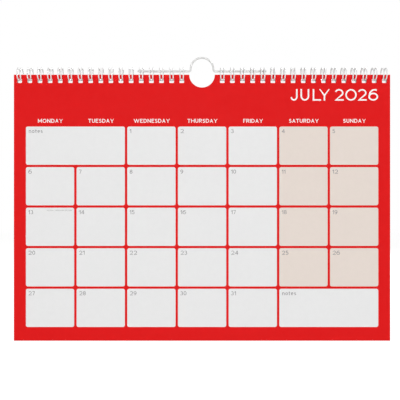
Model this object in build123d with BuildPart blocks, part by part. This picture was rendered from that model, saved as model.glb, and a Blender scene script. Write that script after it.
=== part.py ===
# Wall calendar: month leaves and a card back on twin-loop binding wires, hung by a bent wire hanger.
# The origin is the nail seat, inside the top of the hanger's hump; +X is right and the front faces -Y.
import os
from math import ceil, cos, floor, radians, sin, sqrt

from build123d import *

# Sheets: A4 landscape, with square holes along the top edge
sheet_width = 297.0
sheet_height = 210.0
leaf_count = 12
leaf_thickness = 0.14
board_thickness = 0.8
hole_width = 4.2
hole_height = 3.5
hole_drop = 3.2

# Printed month: a field for each day, and one for notes before the first day and after the last
days_across = 7
workdays = 5
first_day_column = 2
month_days = 31
side_margin = 9.5
heading_height = 41.15
bottom_margin = 10.75
field_gap_across = 2.0
field_gap_down = 1.9
field_corner = 0.9
ink_thickness = 0.1

# Twin-loop binding wire: each loop is two wires side by side, joined across its tip
wire_diameter = 1.0
wire_sides = 5
loop_inner_radius = 4.35
loop_pitch = 8.0
loop_width = 3.0
tip_width = 1.5
loop_runs = 11
tip_angle = -4.0
full_width_angle = 90.0
spine_angle = 342.5
end_land = 2.0

# Hanger: a round hump for the nail, short legs, and two arms that lie inside the loops
hanger_diameter = 1.5
hanger_sides = 8
hump_radius = 9.05
leg_height = 0.5
hanger_bend_radius = 1.2
arm_loop_count = 5
arm_overhang = 1.1
arm_angle = 38.0

# Running clearances
hole_play = 0.1
arm_play = 0.15
seam_play = 0.1
notch_play = 0.3

# Depths and heights, worked out from the nail seat down to the loops and the sheets
wire_radius = wire_diameter / 2
hanger_radius = hanger_diameter / 2
loop_step = (spine_angle - tip_angle) / loop_runs
loop_corner_radius = (loop_inner_radius + wire_radius) / cos(radians(loop_step / 2))
hump_z = hanger_radius - hump_radius
arm_z = hump_z - leg_height - hanger_bend_radius
arm_seat_radius = loop_inner_radius - arm_play - hanger_radius
loop_y = -arm_seat_radius * sin(radians(arm_angle))
loop_z = arm_z - arm_seat_radius * cos(radians(arm_angle))
leaves_back = loop_y - loop_corner_radius * sin(radians(tip_angle)) - wire_radius - seam_play
leaves_front = leaves_back - leaf_count * leaf_thickness
board_front = loop_y - loop_corner_radius * sin(radians(spine_angle)) + wire_radius + seam_play
board_back = board_front + board_thickness


def hung_top(outer_face):
    """Top edge of a sheet that hangs by its holes; outer_face is the depth of its face away from the seam."""
    reach = loop_inner_radius - hole_play
    return loop_z - sqrt(reach**2 - (outer_face - loop_y) ** 2) + hole_drop


leaves_top = hung_top(leaves_front)
board_top = hung_top(board_back)

# Loops along the top edge, with none where the notch and the hump are
notch_radius = hump_radius + hanger_radius + notch_play
first_loop = ceil((notch_radius + end_land + hole_width / 2) / loop_pitch)
last_loop = floor((sheet_width / 2 - end_land - hole_width / 2) / loop_pitch)
loop_places = [number * loop_pitch for number in range(first_loop, last_loop + 1)]
arm_reach = loop_places[arm_loop_count - 1] + loop_width / 2 + wire_radius + arm_overhang

# Month grid
last_place = first_day_column + month_days
weeks_down = ceil(last_place / days_across)
field_pitch_across = (sheet_width - 2 * side_margin + field_gap_across) / days_across
field_pitch_down = (sheet_height - heading_height - bottom_margin + field_gap_down) / weeks_down


def draw_punched_sheet(top):
    """Draws a sheet with its upper edge at top, with the notch and the row of holes."""
    with Locations((0, top)):
        Rectangle(sheet_width, sheet_height, align=(Align.CENTER, Align.MAX))
        Circle(notch_radius, mode=Mode.SUBTRACT)
    with Locations(*[(side * x, top - hole_drop) for side in (-1, 1) for x in loop_places]):
        Rectangle(hole_width, hole_height, align=(Align.CENTER, Align.MAX), mode=Mode.SUBTRACT)


def draw_field(place, days=1):
    """Draws the field of one place in the month grid, or one field across several days."""
    left = place % days_across * field_pitch_across + side_margin - sheet_width / 2
    top = leaves_top - heading_height - place // days_across * field_pitch_down
    with Locations((left, top)):
        Rectangle(
            days * field_pitch_across - field_gap_across,
            field_pitch_down - field_gap_down,
            align=(Align.MIN, Align.MAX),
        )


def loop_point(x, angle):
    """Corner of a loop's centreline; angles start straight down and go by the front over the top."""
    across = loop_corner_radius * sin(radians(angle))
    down = loop_corner_radius * cos(radians(angle))
    return (x, loop_y - across, loop_z - down)


def loop_route():
    """Half a loop, from mid-tip round to the middle of the link; its runs' middles lie on a true circle."""
    points = [loop_point(0, tip_angle)]
    for run in range(loop_runs + 1):
        angle = tip_angle + run * loop_step
        share = min((angle - tip_angle) / (full_width_angle - tip_angle), 1)
        eased = share**2 * (3 - 2 * share)
        points.append(loop_point((tip_width + (loop_width - tip_width) * eased) / 2, angle))
    points.append(loop_point(loop_pitch / 2, spine_angle))
    return points


# Month leaves: one block, from the rearmost leaf to the printed front
with BuildPart() as month_leaves:
    with BuildSketch(Plane.XZ.offset(-leaves_back)):
        draw_punched_sheet(leaves_top)
    extrude(amount=leaves_back - leaves_front)

# Working days and the two notes fields, printed pale grey on the front leaf
with BuildPart() as day_fields:
    with BuildSketch(Plane.XZ.offset(-leaves_front)) as day_print:
        draw_field(0, first_day_column)
        for place in range(first_day_column, last_place):
            if place % days_across < workdays:
                draw_field(place)
        draw_field(last_place, weeks_down * days_across - last_place)
        chamfer(day_print.vertices(), field_corner)
    extrude(amount=ink_thickness)

# Weekend days, printed beige
with BuildPart() as weekend_fields:
    with BuildSketch(Plane.XZ.offset(-leaves_front)) as weekend_print:
        for place in range(first_day_column, last_place):
            if place % days_across >= workdays:
                draw_field(place)
        chamfer(weekend_print.vertices(), field_corner)
    extrude(amount=ink_thickness)

# Back board: stiff card with the same holes and notch, hung a little higher on the loops
with BuildPart() as back_board:
    with BuildSketch(Plane.XZ.offset(-board_back)):
        draw_punched_sheet(board_top)
    extrude(amount=board_thickness)

# One loop of the binding, with half of the link on each side of it
with BuildPart() as loop:
    with BuildLine() as half_route:
        Polyline(*loop_route())
    with BuildSketch(Plane(half_route.line @ 0, x_dir=(0, 1, 0), z_dir=(1, 0, 0))):
        RegularPolygon(wire_radius, wire_sides)
    sweep(transition=Transition.RIGHT)
    mirror(about=Plane.YZ)

# Binding wires: one continuous wire on each side of the notch
with BuildPart() as wire_right:
    with Locations(*[(x, 0, 0) for x in loop_places]):
        add(loop.part)

# The left wire is the mirror image of the right one
with BuildPart() as wire_left:
    mirror(wire_right.part, about=Plane.YZ)

# Hanger: arms inside the loops, tight bends up into short legs, and the hump over the nail
with BuildPart() as hanger:
    with BuildLine(Plane.XZ) as hanger_route:
        for side in (-1, 1):
            FilletPolyline(
                (side * arm_reach, arm_z),
                (side * hump_radius, arm_z),
                (side * hump_radius, hump_z),
                radius=hanger_bend_radius,
            )
        CenterArc((0, hump_z), hump_radius, 0, 180)
    with BuildSketch(Plane((-arm_reach, 0, arm_z), x_dir=(0, 1, 0), z_dir=(1, 0, 0))):
        RegularPolygon(hanger_radius, hanger_sides)
    sweep(path=hanger_route.wire())

os.makedirs("parts", exist_ok=True)
nodes = {
    "month_leaves": month_leaves,
    "day_fields": day_fields,
    "weekend_fields": weekend_fields,
    "back_board": back_board,
    "wire_right": wire_right,
    "wire_left": wire_left,
    "hanger": hanger,
}
for name, piece in nodes.items():
    piece.part.label = name
    export_step(piece.part, f"parts/{name}.step")
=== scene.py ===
# Wall calendar: printed leaves and a card back on twin-loop wires, hung by a bent wire hanger.
# Lengths are written in millimetres, and turned into metres where a mesh is made.
import random
from math import atan2, cos, degrees, radians, sin

import bmesh
import bpy
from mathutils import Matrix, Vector
from mathutils.geometry import delaunay_2d_cdt


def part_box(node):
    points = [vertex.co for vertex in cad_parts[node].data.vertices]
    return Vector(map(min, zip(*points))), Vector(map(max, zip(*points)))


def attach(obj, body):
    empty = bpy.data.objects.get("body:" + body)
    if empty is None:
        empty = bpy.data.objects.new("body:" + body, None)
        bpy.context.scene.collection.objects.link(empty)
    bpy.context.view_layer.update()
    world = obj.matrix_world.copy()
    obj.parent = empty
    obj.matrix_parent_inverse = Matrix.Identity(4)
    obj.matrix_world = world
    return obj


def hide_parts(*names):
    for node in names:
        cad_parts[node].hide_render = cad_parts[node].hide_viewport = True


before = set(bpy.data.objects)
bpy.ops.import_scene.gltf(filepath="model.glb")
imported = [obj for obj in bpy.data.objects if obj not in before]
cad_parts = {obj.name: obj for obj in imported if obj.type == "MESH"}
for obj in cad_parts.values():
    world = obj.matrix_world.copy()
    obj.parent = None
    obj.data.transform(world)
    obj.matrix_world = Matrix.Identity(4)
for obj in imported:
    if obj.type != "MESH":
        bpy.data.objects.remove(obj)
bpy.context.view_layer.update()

random.seed(26)
MM = 0.001
leaves_low, leaves_high = (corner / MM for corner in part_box("month_leaves"))

# Sheets
SHEET_WIDTH = 297.0
SHEET_HEIGHT = 210.0
LEAVES_TOP = leaves_high.z
LEAVES_FRONT = leaves_low.y
LEAF_COUNT = 12
LEAF_PITCH = 0.14
LEAF_THICKNESS = 0.11
HOLE_WIDTH = 3.7
HOLE_HEIGHT = 3.3
HOLE_DROP = 3.2
HOLE_CORNER = 0.55
NOTCH_RADIUS = 10.1
FAN_DEPTH = 1.1
FAN_STRAY = 0.15
FAN_CURVE = 1.5  # power by which the lean grows from leaf to leaf
BOW_CURVE = 1.6  # power by which a leaf bows on its way down
LEAF_SHIFT = 0.04
SHEET_BANDS = 12
BANDS_BELOW_HOLES = 2.0
BANDS_SPAN = 200.0
MERGE_DISTANCE = 1e-5

# Month grid
DAYS_ACROSS = 7
WORKDAYS = 5
FIRST_PLACE = 2
MONTH_DAYS = 31
GRID_PLACES = 35
GRID_LEFT = -139.0
GRID_TOP = LEAVES_TOP - 40.95
FIELD_PITCH_ACROSS = 40.0
FIELD_PITCH_DOWN = 32.0
FIELD_WIDTH = 38.1
FIELD_HEIGHT = 30.15
FIELD_CORNER = 1.5
PRINT_DEPTH = 0.02
INK_DEPTH = 0.02
SUNK = 0.01

# Lettering: weights, gaps and spaces between words are shares of the letters' height
# Heading: the month and the year, each letter with its left edge
TITLE_LETTERS = (
    ("J", 70.1), ("U", 77.7), ("L", 87.35), ("Y", 92.4),
    ("2", 104.5), ("O", 113.1), ("2", 122.7), ("6", 131.3),
)
TITLE_HEIGHT = 9.15
TITLE_WEIGHT = 0.125
TITLE_STRETCH = 1.05
TITLE_BASE = -33.78

# Weekday names
WEEKDAYS = ("MONDAY", "TUESDAY", "WEDNESDAY", "THURSDAY", "FRIDAY", "SATURDAY", "SUNDAY")
WEEKDAY_HEIGHT = 3.02
WEEKDAY_WEIGHT = 0.16
WEEKDAY_GAP = 0.17
WEEKDAY_STRETCH = 1.1
WEEKDAY_BASE = -51.21
WEEKDAY_SHIFT = 0.3

# Small grey print in the fields; insets are from a field's side, and drops from its upper edge
SMALL_WEIGHT = 0.118
NUMBER_HEIGHT = 3.1
NUMBER_GAP = 0.16
NUMBER_STRETCH = 1.13
NUMBER_INSET = 1.92
NUMBER_DROP = 2.0
NOTES_GAP = 0.18
NOTES_STRETCH = 1.18
NOTES_INSET = 2.35
NOTES_DROP = 1.92
HOLIDAY = 13
HOLIDAY_WORDS = ("HOLIDAY", "NORTHERN", "IRELAND")
HOLIDAY_HEIGHT = 0.9
HOLIDAY_GAP = 0.24
HOLIDAY_SPACE = 0.7
HOLIDAY_INSET = 2.0
HOLIDAY_DROP = 1.7

# Twin-loop wire
LOOP_PITCH = 8.0
FIRST_LOOP = 2
LAST_LOOP = 18
LOOP_Y = -2.124
LOOP_Z = -12.7186
LOOP_RADIUS = 4.85
WIRE_RADIUS = 0.5
LOOP_HALF_WIDTH = 1.28
TIP_HALF_WIDTH = 0.75
TIP_ANGLE = -4.0
FULL_WIDTH_ANGLE = 60.0
SPINE_ANGLE = 342.5
ROOT_BEND = 0.8
LEG_STEPS = 48
LOOP_SHIFT = 0.02
LOOP_TOP_ANGLE = 170
LOOP_HALF_TURN = 174

# Hanger
HANGER_RADIUS = 0.75
HUMP_RADIUS = 9.05
HUMP_Z = -8.3
ARM_Z = -10.0
ARM_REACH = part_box("hanger")[1].x / MM
HANGER_BEND = 1.2
ARM_POINTS = 5
END_REACH = 1.05

# Camera: the photograph's frame is square, with its middle near the middle of the page
CAMERA_PLACE = (-1.6, LEAVES_FRONT - 570.0, -112.2)
CAMERA_LENS = 65.0
SENSOR_WIDTH = 36.0

# Light and surroundings, in metres and watts
WORLD_LIGHT = 0.28
LAMP_AIM = (0, 0, -0.1)
LAMPS = (
    ("key", (-1.9, -4.3, 1.5), 1.2, 30.0),
    ("front", (0.3, -4.4, 0.2), 1.0, 93.0),
    ("fill", (1.8, 4.2, 1.6), 1.6, 130.0),
)
FLOOR_REACH = 8
FLOOR_Z = -0.5
FLOOR_GLOW = 1.45
FLOOR_GLOW_SHARE = 0.6


# Camera first, straight before the page
camera_data = bpy.data.cameras.new("camera")
camera_data.lens = CAMERA_LENS
camera_data.sensor_width = SENSOR_WIDTH
camera = bpy.data.objects.new("camera", camera_data)
camera.location = Vector(CAMERA_PLACE) * MM
camera.rotation_euler = (radians(90), 0, 0)
bpy.context.collection.objects.link(camera)
bpy.context.scene.camera = camera


# Materials; noise seldom leaves the range from NOISE_LOW to NOISE_HIGH
NOISE_LOW, NOISE_HIGH = 0.3, 0.7


class Paint:
    """A node material: one Principled shader, with helpers that add the nodes driving it."""

    def __init__(self, name, colour, roughness, specular=0.5, **constants):
        self.material = bpy.data.materials.new(name)
        self.material.use_nodes = True
        self.nodes = self.material.node_tree.nodes
        self.links = self.material.node_tree.links
        self.shader = self.nodes["Principled BSDF"]
        self.colour = colour
        self.shader.inputs["Roughness"].default_value = roughness
        self.shader.inputs["Specular IOR Level"].default_value = specular
        for socket, value in constants.items():
            self.shader.inputs[socket.replace("_", " ")].default_value = value
        self.place = self.nodes.new("ShaderNodeTexCoord").outputs["Object"]

    def noise(self, per_mm, detail=3.0, stretch=(1, 1, 1), rough=0.5):
        """Noise in millimetres, finer as per_mm grows; stretch makes it finer along an axis."""
        mapping = self.nodes.new("ShaderNodeMapping")
        mapping.inputs["Scale"].default_value = stretch
        texture = self.nodes.new("ShaderNodeTexNoise")
        texture.inputs["Scale"].default_value = per_mm / MM
        texture.inputs["Detail"].default_value = detail
        texture.inputs["Roughness"].default_value = rough
        self.links.new(self.place, mapping.inputs["Vector"])
        self.links.new(mapping.outputs["Vector"], texture.inputs["Vector"])
        return texture.outputs["Fac"]

    def ramp(self, source, stops):
        """Colour ramp over a value; stops are (place, colour) pairs."""
        ramp = self.nodes.new("ShaderNodeValToRGB")
        elements = ramp.color_ramp.elements
        while len(elements) < len(stops):
            elements.new(0.5)
        for element, (place, colour) in zip(elements, stops):
            element.position = place
            element.color = (*colour, 1)
        self.links.new(source, ramp.inputs["Fac"])
        return ramp.outputs["Color"]

    def spread(self, source, low, high):
        """Maps noise to a range."""
        spread = self.nodes.new("ShaderNodeMapRange")
        spread.inputs["From Min"].default_value = NOISE_LOW
        spread.inputs["From Max"].default_value = NOISE_HIGH
        spread.inputs["To Min"].default_value = low
        spread.inputs["To Max"].default_value = high
        self.links.new(source, spread.inputs["Value"])
        return spread.outputs["Result"]

    def drive(self, socket, output):
        """Joins an output to one of the shader's sockets."""
        self.links.new(output, self.shader.inputs[socket])

    def mottle(self, source, amount):
        """Colour that strays by a small share to both sides."""
        darker = [part * (1 - amount) for part in self.colour]
        lighter = [min(1, part * (1 + amount)) for part in self.colour]
        self.drive("Base Color", self.ramp(source, ((NOISE_LOW, darker), (NOISE_HIGH, lighter))))

    def bump(self, source, height_mm, strength=1.0):
        """Bump in the surface, as high as height_mm where the value is 1."""
        bump = self.nodes.new("ShaderNodeBump")
        bump.inputs["Strength"].default_value = strength
        bump.inputs["Distance"].default_value = height_mm * MM
        self.links.new(source, bump.inputs["Height"])
        self.drive("Normal", bump.outputs["Normal"])


def paper(name, colour, specular=0.2, roughness=(0.5, 0.62), grain=0.012):
    """Printed paper: a faint mottle, fine fibres that run across, and a slightly uneven sheen."""
    paint = Paint(name, colour, roughness[0], specular)
    fibres = paint.noise(1.1, detail=4.0, stretch=(0.35, 1, 1.3), rough=0.65)
    paint.mottle(paint.noise(0.25, detail=5.0, rough=0.7), amount=0.012)
    paint.drive("Roughness", paint.spread(paint.noise(0.35), *roughness))
    paint.bump(fibres, grain, strength=0.6)
    return paint.material


def coated_wire(name, colour, roughness):
    """Nylon-coated wire: glossy, with a faint pebble where the coat is thin."""
    paint = Paint(name, colour, roughness, Coat_Weight=0.35, Coat_Roughness=0.12)
    paint.mottle(paint.noise(0.5, detail=2.0), amount=0.03)
    paint.drive("Roughness", paint.spread(paint.noise(2.2), roughness - 0.06, roughness + 0.1))
    paint.bump(paint.noise(1.6), 0.02, strength=0.5)
    return paint.material


def board_stock(name, colour):
    """White-lined card: faint darker fibres pressed flat, and a dull, slightly hairy face."""
    paint = Paint(name, colour, 0.85, specular=0.25)
    fibres = paint.noise(0.9, detail=6.0, stretch=(0.25, 1, 1), rough=0.75)
    darker = [part * 0.9 for part in colour]
    lighter = [min(1, part * 1.04) for part in colour]
    stops = ((NOISE_LOW, darker), (0.46, colour), (NOISE_HIGH, lighter))
    paint.drive("Base Color", paint.ramp(fibres, stops))
    paint.drive("Roughness", paint.spread(paint.noise(0.5), 0.72, 0.88))
    paint.bump(fibres, 0.04, strength=0.8)
    return paint.material


def cut_steel(name):
    """Sheared end of a wire: bare, scratched steel."""
    paint = Paint(name, (0.5, 0.5, 0.52), 0.4, Metallic=1.0)
    paint.mottle(paint.noise(3.0, stretch=(1, 6, 1)), amount=0.15)
    paint.drive("Roughness", paint.spread(paint.noise(4.0), 0.3, 0.5))
    return paint.material


red_print = paper("red_print", (0.73, 0.0078, 0.0086), specular=0.06)
white_paper = paper("white_paper", (0.9, 0.895, 0.885), roughness=(0.62, 0.74), grain=0.02)
white_print = paper("white_print", (0.93, 0.925, 0.92))
grey_print = paper("grey_print", (0.799, 0.799, 0.799))
beige_print = paper("beige_print", (0.765, 0.678, 0.618))
number_print = paper("number_print", (0.24, 0.23, 0.24))
white_card = board_stock("white_card", (0.84, 0.83, 0.81))
binding_coat = coated_wire("binding_coat", (0.9, 0.895, 0.89), 0.34)
hanger_coat = coated_wire("hanger_coat", (0.7, 0.7, 0.69), 0.3)
wire_end = cut_steel("wire_end")


# Mesh helpers
def arc(centre_x, centre_y, radius_x, radius_y, start, end, step=12):
    """Points along an arc of an ellipse, from one angle to another in degrees."""
    count = max(2, round(abs(end - start) / step))
    angles = [radians(start + (end - start) * i / count) for i in range(count + 1)]
    return [(centre_x + radius_x * cos(a), centre_y + radius_y * sin(a)) for a in angles]


def rounded_box(left, bottom, width, height, radius, step=15):
    """Outline of a rectangle with rounded corners, counter-clockwise."""
    right, top = left + width - radius, bottom + height - radius
    left, bottom = left + radius, bottom + radius
    corners = ((right, top, 0), (left, top, 90), (left, bottom, 180), (right, bottom, 270))
    rounds = [arc(x, y, radius, radius, start, start + 90, step) for x, y, start in corners]
    return [point for points in rounds for point in points]


def show(mesh, name, body, materials, nodes=()):
    """Puts a mesh in the scene as a piece of one body; nodes are the CAD nodes it stands for."""
    piece = bpy.data.objects.new(name, mesh)
    bpy.context.collection.objects.link(piece)
    for material in materials:
        mesh.materials.append(material)
    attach(piece, body)
    if nodes:
        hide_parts(*nodes)
    return piece


def mesh_from_curve(curve):
    """Turns a curve datablock into a mesh, and removes the curve."""
    holder = bpy.data.objects.new("holder", curve)
    bpy.context.collection.objects.link(holder)
    shaped = holder.evaluated_get(bpy.context.evaluated_depsgraph_get())
    mesh = bpy.data.meshes.new_from_object(shaped)
    bpy.data.objects.remove(holder)
    bpy.data.curves.remove(curve)
    return mesh


def flat_sheet(outlines, thickness):
    """Upright sheet in millimetres, its middle at y = 0; its own outline comes before the holes."""
    points = [Vector(point) for outline in outlines for point in outline]
    numbers = iter(range(len(points)))
    rings = [[next(numbers) for _ in outline] for outline in outlines]
    inside_outlines = 1
    cut = delaunay_2d_cdt(points, [], rings, inside_outlines, MERGE_DISTANCE)
    places, _, triangles, _, _, rings_around = cut
    made = bmesh.new()
    verts = [made.verts.new((x, -thickness / 2, z)) for x, z in places]
    for triangle, around in zip(triangles, rings_around):
        if around == [0]:
            made.faces.new([verts[i] for i in triangle])
    grown = bmesh.ops.extrude_face_region(made, geom=made.faces)["geom"]
    grown_verts = [part for part in grown if isinstance(part, bmesh.types.BMVert)]
    bmesh.ops.translate(made, verts=grown_verts, vec=(0, thickness, 0))
    bmesh.ops.recalc_face_normals(made, faces=made.faces)
    return made


def tube(path, radius, sides_quarter=3):
    """Round wire along a path of points in millimetres, its cut ends in the second material."""
    curve = bpy.data.curves.new("tube", "CURVE")
    curve.dimensions = "3D"
    curve.bevel_depth = radius * MM
    curve.bevel_resolution = sides_quarter - 1
    curve.use_fill_caps = True
    curve.twist_mode = "MINIMUM"
    spline = curve.splines.new("POLY")
    spline.points.add(len(path) - 1)
    for target, point in zip(spline.points, path):
        target.co = (*(Vector(point) * MM), 1)
    mesh = mesh_from_curve(curve)
    made = bmesh.new()
    made.from_mesh(mesh)
    bmesh.ops.remove_doubles(made, verts=made.verts, dist=radius * MM / 100)
    bmesh.ops.recalc_face_normals(made, faces=made.faces)
    ends = [Vector(path[i]) * MM for i in (0, -1)]
    reach = END_REACH * radius * MM
    for face in made.faces:
        is_end = any(all((v.co - end).length < reach for v in face.verts) for end in ends)
        face.material_index = 1 if is_end else 0
        face.smooth = not is_end
    made.to_mesh(mesh)
    made.free()
    return mesh


# Leaves: the same sheet twelve times, a little fanned towards the board and never quite in line
def leaf_outlines():
    """Outline of a leaf with its notch, and then of each punched hole."""
    half = SHEET_WIDTH / 2
    bottom = LEAVES_TOP - SHEET_HEIGHT
    notch = arc(0, LEAVES_TOP, NOTCH_RADIUS, NOTCH_RADIUS, 360, 180, step=5)
    outlines = [[(half, bottom), (half, LEAVES_TOP), *notch, (-half, LEAVES_TOP), (-half, bottom)]]
    hole_bottom = LEAVES_TOP - HOLE_DROP - HOLE_HEIGHT
    for number in range(FIRST_LOOP, LAST_LOOP + 1):
        for x in (-number * LOOP_PITCH, number * LOOP_PITCH):
            hole = (x - HOLE_WIDTH / 2, hole_bottom, HOLE_WIDTH, HOLE_HEIGHT, HOLE_CORNER)
            outlines.append(rounded_box(*hole, step=30))
    return outlines


def cut_bands(made):
    """Cuts a sheet across into bands, so that it can bend."""
    bands_top = LEAVES_TOP - HOLE_DROP - HOLE_HEIGHT - BANDS_BELOW_HOLES
    for band in range(1, SHEET_BANDS):
        height = bands_top - band * BANDS_SPAN / SHEET_BANDS
        everything = [*made.verts, *made.edges, *made.faces]
        bmesh.ops.bisect_plane(made, geom=everything, plane_co=(0, 0, height), plane_no=(0, 0, 1))


# Every leaf is a copy of this one; its front face takes the second paint
sheet = flat_sheet(leaf_outlines(), LEAF_THICKNESS)
cut_bands(sheet)
for face in sheet.faces:
    face.material_index = 1 if face.normal.y < -0.5 else 0


def add_leaf(target, number):
    """Adds one leaf, numbered from the front, to a mesh; the rearmost leans most to the board."""
    share = number / (LEAF_COUNT - 1)
    depth = LEAVES_FRONT + LEAF_THICKNESS / 2 + number * LEAF_PITCH
    lean = FAN_DEPTH * share**FAN_CURVE * random.uniform(1 - FAN_STRAY, 1.0)
    across = random.uniform(-LEAF_SHIFT, LEAF_SHIFT) if number else 0
    down = random.uniform(0, LEAF_SHIFT) if number else 0
    leaf = sheet.copy()
    for vertex in leaf.verts:
        x, y, z = vertex.co
        fall = (LEAVES_TOP - z) / SHEET_HEIGHT
        vertex.co = Vector((x + across, y + depth + lean * fall**BOW_CURVE, z - down)) * MM
    mesh = bpy.data.meshes.new("leaf")
    leaf.to_mesh(mesh)
    leaf.free()
    target.from_mesh(mesh)
    bpy.data.meshes.remove(mesh)


def leaves_mesh(numbers):
    """Mesh of some of the leaves."""
    made = bmesh.new()
    for number in numbers:
        add_leaf(made, number)
    mesh = bpy.data.meshes.new("leaves")
    made.to_mesh(mesh)
    made.free()
    return mesh


leaf_paints = (white_paper, red_print)
for name, leaves in (("front_leaf", [0]), ("rear_leaves", range(1, LEAF_COUNT))):
    show(leaves_mesh(leaves), name, "leaves", leaf_paints, ["month_leaves"])


# Fields of the month grid, thin ink with rounded corners on the front leaf
def field_corner(place):
    """Lower left corner of a place in the month grid."""
    left = GRID_LEFT + place % DAYS_ACROSS * FIELD_PITCH_ACROSS
    return left, GRID_TOP - place // DAYS_ACROSS * FIELD_PITCH_DOWN - FIELD_HEIGHT


def fields_mesh(places):
    """Fields as flat prisms; places are (place, days across) pairs."""
    made = bmesh.new()
    for place, days in places:
        width = (days - 1) * FIELD_PITCH_ACROSS + FIELD_WIDTH
        outline = rounded_box(*field_corner(place), width, FIELD_HEIGHT, FIELD_CORNER)
        rings = []
        for y in (LEAVES_FRONT - PRINT_DEPTH, LEAVES_FRONT + SUNK):
            rings.append([made.verts.new(Vector((x, y, z)) * MM) for x, z in outline])
        made.faces.new(rings[0])
        made.faces.new(reversed(rings[1]))
        for i in range(len(outline)):
            made.faces.new((rings[0][i], rings[0][i - 1], rings[1][i - 1], rings[1][i]))
    bmesh.ops.recalc_face_normals(made, faces=made.faces)
    mesh = bpy.data.meshes.new("fields")
    made.to_mesh(mesh)
    made.free()
    return mesh


month = range(FIRST_PLACE, FIRST_PLACE + MONTH_DAYS)
last_notes = FIRST_PLACE + MONTH_DAYS
grey_places = [(place, 1) for place in month if place % DAYS_ACROSS < WORKDAYS]
grey_places += [(0, FIRST_PLACE), (last_notes, GRID_PLACES - last_notes)]
beige_places = [(place, 1) for place in month if place % DAYS_ACROSS >= WORKDAYS]
grey, beige = fields_mesh(grey_places), fields_mesh(beige_places)
show(grey, "grey_fields", "leaves", [grey_print], ["day_fields"])
show(beige, "beige_fields", "leaves", [beige_print], ["weekend_fields"])


# Plain letters of one weight: each has a width, a share of its height, and strokes in a unit box
GLYPHS = {
    "A": (0.79, [[(0, 0), (0.5, 1), (1, 0)], [(0.2, 0.3), (0.8, 0.3)]]),
    "D": (0.8, [[(0, 0), (0, 1), *arc(0.36, 0.5, 0.64, 0.5, 90, -90), (0, 0)]]),
    "E": (0.65, [[(1, 1), (0, 1), (0, 0), (1, 0)], [(0.02, 0.52), (0.9, 0.52)]]),
    "F": (0.57, [[(1, 1), (0, 1), (0, 0)], [(0.02, 0.48), (0.88, 0.48)]]),
    "H": (0.84, [[(0, 0), (0, 1)], [(1, 0), (1, 1)], [(0.02, 0.5), (0.98, 0.5)]]),
    "I": (0, [[(0, 0), (0, 1)]]),
    "J": (0.55, [[(1, 1), (1, 0.32), *arc(0.46, 0.32, 0.54, 0.32, -12, -172)]]),
    "L": (0.685, [[(0, 1), (0, 0), (1, 0)]]),
    "M": (0.94, [[(0, 0), (0, 1), (0.5, 0.2), (1, 1), (1, 0)]]),
    "N": (0.8, [[(0, 0), (0, 1), (1, 0), (1, 1)]]),
    "O": (0.93, [arc(0.5, 0.5, 0.5, 0.5, 0, 360)]),
    "R": (0.71, [
        [(0, 0), (0, 1)],
        [(0.02, 1), *arc(0.52, 0.74, 0.48, 0.26, 90, -90), (0.02, 0.48)],
        [(0.46, 0.48), (1, 0)],
    ]),
    "S": (0.6, [[*arc(0.52, 0.75, 0.46, 0.25, 30, 258), *arc(0.48, 0.25, 0.52, 0.25, 78, -150)]]),
    "T": (0.7, [[(0, 1), (1, 1)], [(0.5, 0.98), (0.5, 0)]]),
    "U": (0.72, [[(0, 1), (0, 0.4), *arc(0.5, 0.4, 0.5, 0.4, 192, 348), (1, 0.4), (1, 1)]]),
    "W": (1.36, [[(0, 1), (0.26, 0), (0.5, 1), (0.74, 0), (1, 1)]]),
    "Y": (0.88, [[(0, 1), (0.5, 0.44), (1, 1)], [(0.5, 0.5), (0.5, 0)]]),
    "0": (0.62, [arc(0.5, 0.5, 0.5, 0.5, 0, 360)]),
    "1": (0.34, [[(0, 0.78), (1, 1), (1, 0)]]),
    "2": (0.76, [[*arc(0.5, 0.69, 0.47, 0.31, 160, -38), (0, 0), (1, 0)]]),
    "3": (0.6, [arc(0.45, 0.76, 0.43, 0.24, 150, -90), arc(0.45, 0.26, 0.55, 0.26, 90, -150)]),
    "4": (0.7, [[(0.75, 0), (0.75, 1)], [(0.74, 1), (0, 0.26), (1, 0.26)]]),
    "5": (0.6, [[(0.92, 1), (0.14, 1), *arc(0.46, 0.31, 0.54, 0.31, 128, -150)]]),
    "6": (0.8, [arc(0.5, 0.32, 0.5, 0.32, 0, 360), arc(0.66, 0.32, 0.66, 0.68, 180, 66)]),
    "7": (0.6, [[(0, 1), (1, 1), (0.34, 0)]]),
    "8": (0.62, [arc(0.5, 0.76, 0.42, 0.24, 0, 360), arc(0.5, 0.26, 0.5, 0.26, 0, 360)]),
    "9": (0.62, [arc(0.5, 0.69, 0.5, 0.31, 0, 360), arc(0.34, 0.69, 0.66, 0.69, 0, -110)]),
    "n": (0.5, [[(0, 0), (0, 0.68)], [*arc(0.5, 0.38, 0.5, 0.28, 170, 0), (1, 0)]]),
    "o": (0.55, [arc(0.5, 0.33, 0.5, 0.33, 0, 360)]),
    "t": (0.36, [
        [(0.35, 0.95), (0.35, 0.18), *arc(0.8, 0.18, 0.45, 0.18, 192, 285)],
        [(0, 0.66), (1, 0.66)],
    ]),
    "e": (0.53, [arc(0.5, 0.33, 0.5, 0.33, 0, 310), [(0.02, 0.35), (0.98, 0.35)]]),
    "s": (0.42, [
        [*arc(0.52, 0.5, 0.46, 0.165, 35, 255), *arc(0.48, 0.17, 0.52, 0.165, 75, -145)],
    ]),
}
SHARP_TURN = 95  # degrees; a corner that turns by more is cut flat
STEEP = 0.5  # a stroke runs on to the box only if it comes at least this straight at its side
GLYPH_MERGE = 0.0001
ENDS_MEET = 0.001


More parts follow.
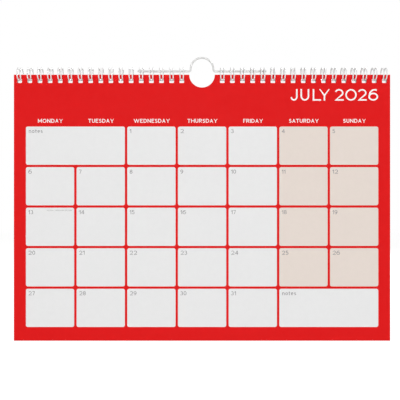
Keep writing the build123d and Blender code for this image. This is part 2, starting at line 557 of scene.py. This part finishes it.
def cut_to_box(corner, towards, place, box):
    """Slides a stroke's corner along the stroke to the side of the box that its end lies on."""
    for axis in (1, 0):
        if place[axis] in (0, 1) and abs(towards[axis]) > STEEP:
            corner = corner + towards * (place[axis] * box[axis] - corner[axis]) / towards[axis]
            break
    return Vector(min(max(part, 0), side) for part, side in zip(corner, box))


def ribbon_corners(points, closed, weight, width):
    """Left and right corners along a stroke; sharp turns and free ends are cut flat at the box."""
    box = (width, 1.0)
    half = weight / 2
    middles = [Vector((half + x * (width - weight), half + y * (1 - weight))) for x, y in points]
    if closed:
        middles.pop()
    count = len(middles)
    corners = []
    for i, middle in enumerate(middles):
        has_before, has_after = i > 0 or closed, i + 1 < count or closed
        before = (middle - middles[i - 1]).normalized() if has_before else None
        after = (middles[(i + 1) % count] - middle).normalized() if has_after else None
        is_end = not (before and after)
        before, after = before or after, after or before
        left_before, left_after = Vector((-before.y, before.x)), Vector((-after.y, after.x))
        normal = (left_before + left_after).normalized()
        reach = normal * half / normal.dot(left_after)
        turn = degrees(atan2(before.cross(after), before.dot(after)))
        if is_end:
            ends = (middle + reach, middle - reach)
            corners.append([cut_to_box(end, after, points[i], box) for end in ends])
        elif abs(turn) < SHARP_TURN:
            corners.append([middle + reach, middle - reach])
        else:
            outer = -1 if turn > 0 else 1
            inner = middle - outer * reach
            for left, along in ((left_before, before), (left_after, after)):
                flat = cut_to_box(middle + left * outer * half, along, points[i], box)
                corners.append([inner, flat] if outer < 0 else [flat, inner])
    return corners


def ribbon_mesh(corners, closed):
    """A stroke as a thin prism, one unit deep, from y = 0 in front to y = 1."""
    made = bmesh.new()
    rows = []
    for left, right in corners:
        section = ((left, 0), (right, 0), (right, 1), (left, 1))
        rows.append([made.verts.new((point.x, y, point.y)) for point, y in section])
    for i in range(0 if closed else 1, len(rows)):
        last, row = rows[i - 1], rows[i]
        for side in range(4):
            made.faces.new((last[side], last[side - 1], row[side - 1], row[side]))
    if not closed:
        made.faces.new(rows[0])
        made.faces.new(reversed(rows[-1]))
    bmesh.ops.remove_doubles(made, verts=made.verts, dist=GLYPH_MERGE)
    bmesh.ops.recalc_face_normals(made, faces=made.faces)
    mesh = bpy.data.meshes.new("stroke")
    made.to_mesh(mesh)
    made.free()
    return mesh


def glyph_mesh(letter, weight):
    """(width, mesh) of a letter, one unit high, with its strokes joined into one solid."""
    width, strokes = GLYPHS[letter]
    width = max(width, weight)
    solids = []
    for points in strokes:
        closed = (Vector(points[0]) - Vector(points[-1])).length < ENDS_MEET
        mesh = ribbon_mesh(ribbon_corners(points, closed, weight, width), closed)
        solids.append(bpy.data.objects.new("stroke", mesh))
        bpy.context.collection.objects.link(solids[-1])
    for other in solids[1:]:
        join = solids[0].modifiers.new("join", "BOOLEAN")
        join.operation = "UNION"
        join.object = other
    joined = solids[0].evaluated_get(bpy.context.evaluated_depsgraph_get())
    mesh = bpy.data.meshes.new_from_object(joined)
    for solid in solids:
        bpy.data.objects.remove(solid)
    made = bmesh.new()
    made.from_mesh(mesh)
    bmesh.ops.dissolve_degenerate(made, edges=made.edges, dist=GLYPH_MERGE)
    made.to_mesh(mesh)
    made.free()
    return width, mesh


class Lettering:
    """Words of one weight and depth, gathered into one mesh on the front leaf or on a field."""

    def __init__(self, weight, face):
        self.weight, self.face = weight, face
        self.glyphs = {}
        self.made = bmesh.new()

    def glyph(self, letter):
        """(width, mesh) of a letter at this weight."""
        if letter not in self.glyphs:
            self.glyphs[letter] = glyph_mesh(letter, self.weight)
        return self.glyphs[letter]

    def letter(self, letter, left, base, height, stretch=1.0):
        """Sets one letter and returns its right edge."""
        width, mesh = self.glyph(letter)
        first = len(self.made.verts)
        self.made.from_mesh(mesh)
        self.made.verts.ensure_lookup_table()
        for vertex in self.made.verts[first:]:
            x, y, z = vertex.co
            depth = self.face - INK_DEPTH + y * (INK_DEPTH + SUNK)
            vertex.co = Vector((left + x * height * stretch, depth, base + z * height)) * MM
        return left + width * height * stretch

    def word(self, word, left, base, height, gap, stretch=1.0):
        """Sets a word from its left edge."""
        for letter in word:
            left = self.letter(letter, left, base, height, stretch) + gap * height

    def length(self, word, height, gap, stretch=1.0):
        """Length of a word."""
        widths = [self.glyph(letter)[0] * stretch + gap for letter in word]
        return (sum(widths) - gap) * height

    def mesh(self):
        """The finished mesh; nothing can be set after this."""
        mesh = bpy.data.meshes.new("lettering")
        self.made.to_mesh(mesh)
        self.made.free()
        return mesh


# Month and year, white at the top right
title = Lettering(TITLE_WEIGHT, LEAVES_FRONT)
for letter, left in TITLE_LETTERS:
    title.letter(letter, left, TITLE_BASE, TITLE_HEIGHT, TITLE_STRETCH)
show(title.mesh(), "title_lettering", "leaves", [white_print])

# Weekday names, bold and white over their columns
weekdays = Lettering(WEEKDAY_WEIGHT, LEAVES_FRONT)
for column, name in enumerate(WEEKDAYS):
    middle = GRID_LEFT + column * FIELD_PITCH_ACROSS + FIELD_WIDTH / 2 + WEEKDAY_SHIFT
    left = middle - weekdays.length(name, WEEKDAY_HEIGHT, WEEKDAY_GAP, WEEKDAY_STRETCH) / 2
    weekdays.word(name, left, WEEKDAY_BASE, WEEKDAY_HEIGHT, WEEKDAY_GAP, WEEKDAY_STRETCH)
show(weekdays.mesh(), "weekday_names", "leaves", [white_print])

# Day numbers, a word in the two notes fields, and a line of very small print that ends at the right
numbers = Lettering(SMALL_WEIGHT, LEAVES_FRONT - PRINT_DEPTH)
for day, place in enumerate(month, 1):
    left, bottom = field_corner(place)
    base = bottom + FIELD_HEIGHT - NUMBER_DROP - NUMBER_HEIGHT
    numbers.word(str(day), left + NUMBER_INSET, base, NUMBER_HEIGHT, NUMBER_GAP, NUMBER_STRETCH)
for place in (0, last_notes):
    left, bottom = field_corner(place)
    base = bottom + FIELD_HEIGHT - NOTES_DROP - NUMBER_HEIGHT
    numbers.word("notes", left + NOTES_INSET, base, NUMBER_HEIGHT, NOTES_GAP, NOTES_STRETCH)
left, bottom = field_corner(FIRST_PLACE + HOLIDAY - 1)
base = bottom + FIELD_HEIGHT - HOLIDAY_DROP - HOLIDAY_HEIGHT
left += FIELD_WIDTH - HOLIDAY_INSET
for word in reversed(HOLIDAY_WORDS):
    left -= numbers.length(word, HOLIDAY_HEIGHT, HOLIDAY_GAP)
    numbers.word(word, left, base, HOLIDAY_HEIGHT, HOLIDAY_GAP)
    left -= HOLIDAY_SPACE * HOLIDAY_HEIGHT
show(numbers.mesh(), "day_numbers", "leaves", [number_print])


# Binding wires: a flat zigzag of loops, curled round so that the tips come back to the spine
def eased_half_width(angle):
    """Half the distance between a loop's two strands, which widens from the tip on."""
    share = min(max((angle - TIP_ANGLE) / (FULL_WIDTH_ANGLE - TIP_ANGLE), 0), 1)
    return TIP_HALF_WIDTH + (LOOP_HALF_WIDTH - TIP_HALF_WIDTH) * share**2 * (3 - 2 * share)


def half_loop():
    """(distance from the loop's middle, angle) from the tip's middle to the middle of the link."""
    per_mm = degrees(1 / LOOP_RADIUS)
    tip_turn, root_turn = TIP_HALF_WIDTH * per_mm, ROOT_BEND * per_mm
    tip = arc(0, TIP_ANGLE + tip_turn, TIP_HALF_WIDTH, tip_turn, -90, 0, step=18)
    root_start = SPINE_ANGLE - root_turn
    leg_start = tip[-1][1]
    angles = [leg_start + (root_start - leg_start) * i / LEG_STEPS for i in range(1, LEG_STEPS)]
    leg = [(eased_half_width(angle), angle) for angle in angles]
    bend = arc(LOOP_HALF_WIDTH + ROOT_BEND, root_start, ROOT_BEND, root_turn, 180, 90, step=15)
    return [*tip, *leg, *bend, (LOOP_PITCH / 2, SPINE_ANGLE)]


def wire_path(side):
    """The wire from the notch outwards, each loop a hair out of place."""
    half = half_loop()
    whole = [(-x, angle) for x, angle in reversed(half[1:])] + half
    path = []
    for number in range(FIRST_LOOP, LAST_LOOP + 1):
        shift = random.uniform(-LOOP_SHIFT, LOOP_SHIFT)
        lean = random.uniform(-LOOP_SHIFT, LOOP_SHIFT)
        for x, angle in whole[0 if number == FIRST_LOOP else 1:]:
            rise = 1 - abs(angle - LOOP_TOP_ANGLE) / LOOP_HALF_TURN
            stray = (shift + lean * rise) * max(0, 1 - abs(x) * 2 / LOOP_PITCH)
            y = LOOP_Y - LOOP_RADIUS * sin(radians(angle))
            z = LOOP_Z - LOOP_RADIUS * cos(radians(angle))
            path.append((side * (number * LOOP_PITCH + x + stray), y, z))
    return path


wire_paints = (binding_coat, wire_end)
for name, side in (("left", -1), ("right", 1)):
    mesh = tube(wire_path(side), WIRE_RADIUS)
    show(mesh, f"binding_{name}", "binding", wire_paints, [f"wire_{name}"])


# Hanger: arms inside the loops, tight bends up into short legs, and the hump over the nail
def hanger_path():
    """Points along the hanger, from the end of its right arm to the end of its left one."""
    bend_x, bend_z = HUMP_RADIUS + HANGER_BEND, ARM_Z + HANGER_BEND
    half = [(ARM_REACH - LOOP_PITCH * i, ARM_Z) for i in range(ARM_POINTS)]
    half += arc(bend_x, bend_z, HANGER_BEND, HANGER_BEND, 270, 180, step=10)
    half += arc(0, HUMP_Z, HUMP_RADIUS, HUMP_RADIUS, 0, 90, step=4)
    return [(x, 0, z) for x, z in half] + [(-x, 0, z) for x, z in reversed(half[:-1])]


mesh = tube(hanger_path(), HANGER_RADIUS, sides_quarter=4)
show(mesh, "hanger_wire", "hanger", (hanger_coat, wire_end), ["hanger"])

# Back board: the CAD solid, in white card
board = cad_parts["back_board"]
for slot in board.material_slots:
    slot.material = white_card


# Floor, light and background
def seen_rays(nodes, links):
    """1 for rays from the camera and for those that metal or glass sends on, else 0."""
    rays = nodes.new("ShaderNodeLightPath")
    total = rays.outputs["Is Camera Ray"]
    for name in ("Is Glossy Ray", "Is Transmission Ray"):
        larger = nodes.new("ShaderNodeMath")
        larger.operation = "MAXIMUM"
        links.new(total, larger.inputs[0])
        links.new(rays.outputs[name], larger.inputs[1])
        total = larger.outputs[0]
    return total


def stage_floor():
    """A wide pale floor below the calendar, white to the camera, which keeps a soft shadow."""
    mesh = bpy.data.meshes.new("floor")
    signs = ((-1, -1), (1, -1), (1, 1), (-1, 1))
    corners = [(x * FLOOR_REACH, y * FLOOR_REACH, FLOOR_Z) for x, y in signs]
    mesh.from_pydata(corners, [], [(0, 1, 2, 3)])
    floor = bpy.data.objects.new("floor", mesh)
    bpy.context.collection.objects.link(floor)
    material = bpy.data.materials.new("floor")
    material.use_nodes = True
    nodes, links = material.node_tree.nodes, material.node_tree.links
    shader = nodes["Principled BSDF"]
    shader.inputs["Base Color"].default_value = (0.8, 0.8, 0.8, 1)
    shader.inputs["Roughness"].default_value = 0.9
    glow = nodes.new("ShaderNodeEmission")
    glow.inputs["Strength"].default_value = FLOOR_GLOW
    mix = nodes.new("ShaderNodeMixShader")
    seen = seen_rays(nodes, links)
    share = nodes.new("ShaderNodeMath")
    share.operation = "MULTIPLY"
    share.inputs[1].default_value = FLOOR_GLOW_SHARE
    links.new(seen, share.inputs[0])
    links.new(share.outputs[0], mix.inputs["Fac"])
    links.new(shader.outputs[0], mix.inputs[1])
    links.new(glow.outputs[0], mix.inputs[2])
    links.new(mix.outputs[0], nodes["Material Output"].inputs["Surface"])
    mesh.materials.append(material)


def soft_lamp(name, place, size, watts):
    """A round lamp aimed at the middle of the page."""
    lamp_data = bpy.data.lights.new(name, "AREA")
    lamp_data.shape = "DISK"
    lamp_data.size = size
    lamp_data.energy = watts
    lamp = bpy.data.objects.new(name, lamp_data)
    lamp.location = place
    aim = Vector(LAMP_AIM) - lamp.location
    lamp.rotation_euler = aim.to_track_quat("-Z", "Y").to_euler()
    bpy.context.collection.objects.link(lamp)


world = bpy.data.worlds.new("studio")
world.use_nodes = True
bpy.context.scene.world = world
nodes, links = world.node_tree.nodes, world.node_tree.links
light = nodes["Background"]
light.inputs["Color"].default_value = (1, 1, 1, 1)
light.inputs["Strength"].default_value = WORLD_LIGHT
backdrop = nodes.new("ShaderNodeBackground")
backdrop.inputs["Color"].default_value = (1, 1, 1, 1)
mix = nodes.new("ShaderNodeMixShader")
links.new(seen_rays(nodes, links), mix.inputs["Fac"])
links.new(light.outputs[0], mix.inputs[1])
links.new(backdrop.outputs[0], mix.inputs[2])
links.new(mix.outputs[0], nodes["World Output"].inputs["Surface"])
stage_floor()
for lamp in LAMPS:
    soft_lamp(*lamp)

bpy.context.scene.view_settings.view_transform = "Standard"
